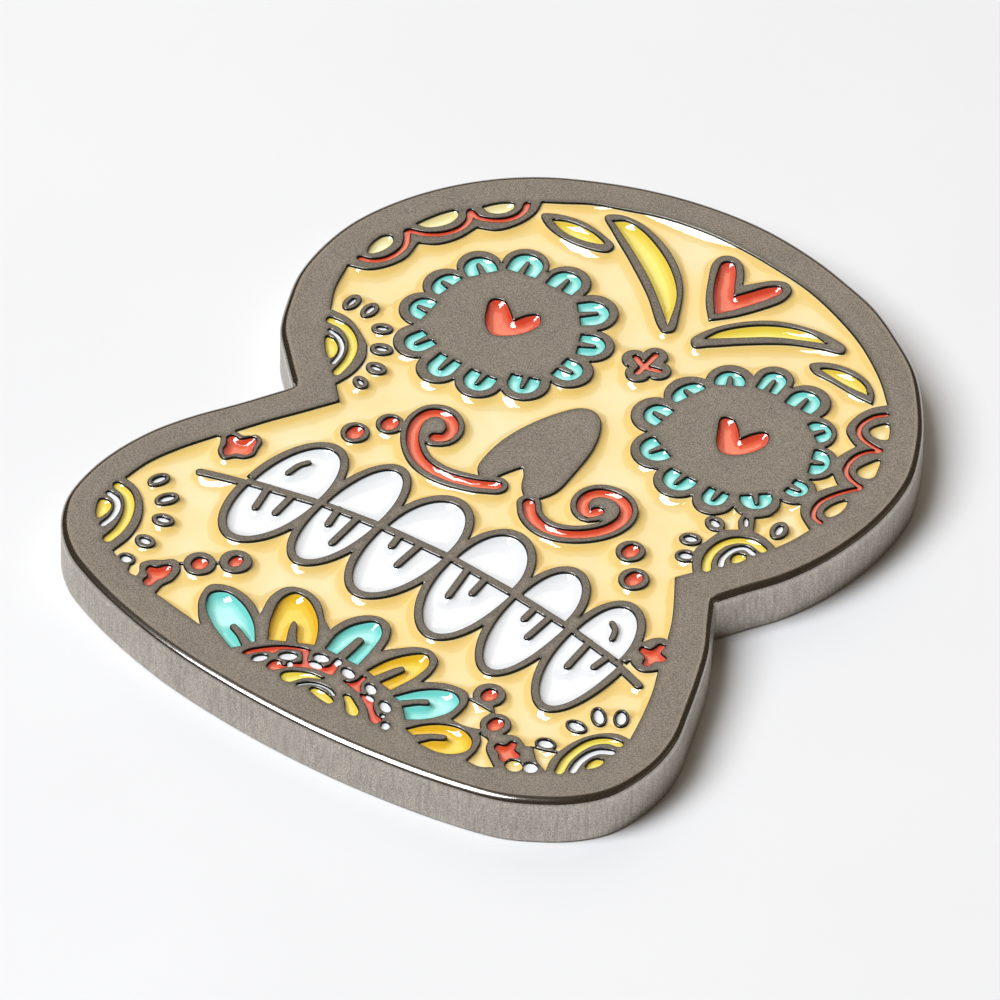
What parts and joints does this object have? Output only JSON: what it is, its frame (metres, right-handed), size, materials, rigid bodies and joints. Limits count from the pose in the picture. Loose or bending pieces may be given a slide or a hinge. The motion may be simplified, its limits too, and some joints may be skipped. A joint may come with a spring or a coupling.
{
  "type": "enamel pin",
  "caption": "Soft-enamel lapel pin: flat die-struck skull-shaped badge with coloured recessed enamel cells, held by brazed posts and butterfly clutches.",
  "frame": {"origin": "centre of the badge plate on its flat back face", "axes": "+Z out of the enamel face, +Y to the crown of the skull, +X to the right seen from the front"},
  "size_m": [0.0317, 0.0382, 0.0109],
  "materials": {
    "metal_black": "black nickel plate, satin, with a glossy dark rounded edge and a brushed side wall",
    "metal_nickel": "nickel plated brass and steel, smooth",
    "enamel_cream": "glossy soft enamel",
    "enamel_white": "glossy soft enamel",
    "enamel_red": "glossy soft enamel",
    "enamel_teal": "glossy soft enamel",
    "enamel_yellow": "glossy soft enamel",
    "enamel_orange": "glossy soft enamel"
  },
  "bodies": {
    "pin": {"base_plate": "metal_black", "post_left": "metal_nickel", "post_right": "metal_nickel", "enamel_chin_1": "enamel_teal", "enamel_chin_2": "enamel_orange", "enamel_chin_3": "enamel_teal", "enamel_chin_4": "enamel_orange", "enamel_chin_5": "enamel_teal", "enamel_chin_6": "enamel_orange", "enamel_cross": "enamel_red", "enamel_dot_1": "enamel_red", "enamel_dot_2": "enamel_red", "enamel_dot_3": "enamel_red", "enamel_dot_4": "enamel_red", "enamel_dot_5": "enamel_red", "enamel_dot_6": "enamel_red", "enamel_dot_7": "enamel_red", "enamel_dot_8": "enamel_red", "enamel_field": "enamel_cream", "enamel_flower_1": "enamel_red", "enamel_flower_2": "enamel_red", "enamel_flower_3": "enamel_red", "enamel_flower_4": "enamel_red", "enamel_heart_eye_left": "enamel_red", "enamel_heart_eye_right": "enamel_red", "enamel_heart_forehead": "enamel_red", "enamel_leaf_1": "enamel_yellow", "enamel_leaf_2": "enamel_yellow", "enamel_leaf_3": "enamel_yellow", "enamel_leaf_4": "enamel_yellow", "enamel_scroll_left": "enamel_red", "enamel_scroll_right": "enamel_red", "enamel_side_1": "enamel_cream", "enamel_side_2": "enamel_cream", "enamel_side_3": "enamel_cream", "enamel_sun_1": "enamel_yellow", "enamel_sun_2": "enamel_yellow", "enamel_sun_3": "enamel_yellow", "enamel_sun_4": "enamel_yellow", "enamel_temple_left": "enamel_red", "enamel_temple_right": "enamel_red", "enamel_tooth_lower_1": "enamel_white", "enamel_tooth_lower_2": "enamel_white", "enamel_tooth_lower_3": "enamel_white", "enamel_tooth_lower_4": "enamel_white", "enamel_tooth_lower_5": "enamel_white", "enamel_tooth_lower_6": "enamel_white", "enamel_tooth_upper_1": "enamel_white", "enamel_tooth_upper_2": "enamel_white", "enamel_tooth_upper_3": "enamel_white", "enamel_tooth_upper_4": "enamel_white", "enamel_tooth_upper_5": "enamel_white", "enamel_tooth_upper_6": "enamel_white"},
    "clutch_left": {"clutch_cup_left": "metal_nickel"},
    "wing_left_a": {"clutch_wing_left_a": "metal_nickel"},
    "wing_left_b": {"clutch_wing_left_b": "metal_nickel"},
    "clutch_right": {"clutch_cup_right": "metal_nickel"},
    "wing_right_a": {"clutch_wing_right_a": "metal_nickel"},
    "wing_right_b": {"clutch_wing_right_b": "metal_nickel"}
  },
  "joints": [
    {"name": "clutch_left_slide", "type": "slide", "parent": "pin", "child": "clutch_left", "axis": [0, 0, -1], "range_m": [0, 0.009]},
    {"name": "wing_left_a_pinch", "type": "hinge", "parent": "clutch_left", "child": "wing_left_a", "pos_m": [-0.0045, 0.0005, -0.00272], "axis": [0, 1, 0], "range_deg": [0, 10], "stiffness_Nm_per_rad": 0.02},
    {"name": "wing_left_b_pinch", "type": "hinge", "parent": "clutch_left", "child": "wing_left_b", "pos_m": [-0.0095, 0.0005, -0.00272], "axis": [0, -1, 0], "range_deg": [0, 10], "stiffness_Nm_per_rad": 0.02},
    {"name": "clutch_right_slide", "type": "slide", "parent": "pin", "child": "clutch_right", "axis": [0, 0, -1], "range_m": [0, 0.009]},
    {"name": "wing_right_a_pinch", "type": "hinge", "parent": "clutch_right", "child": "wing_right_a", "pos_m": [0.0095, 0.0005, -0.00272], "axis": [0, 1, 0], "range_deg": [0, 10], "stiffness_Nm_per_rad": 0.02},
    {"name": "wing_right_b_pinch", "type": "hinge", "parent": "clutch_right", "child": "wing_right_b", "pos_m": [0.0045, 0.0005, -0.00272], "axis": [0, -1, 0], "range_deg": [0, 10], "stiffness_Nm_per_rad": 0.02}
  ],
  "couplings": [
    {"joint": "wing_left_b_pinch", "follows": "wing_left_a_pinch", "ratio": 1},
    {"joint": "wing_right_b_pinch", "follows": "wing_right_a_pinch", "ratio": 1}
  ]
}
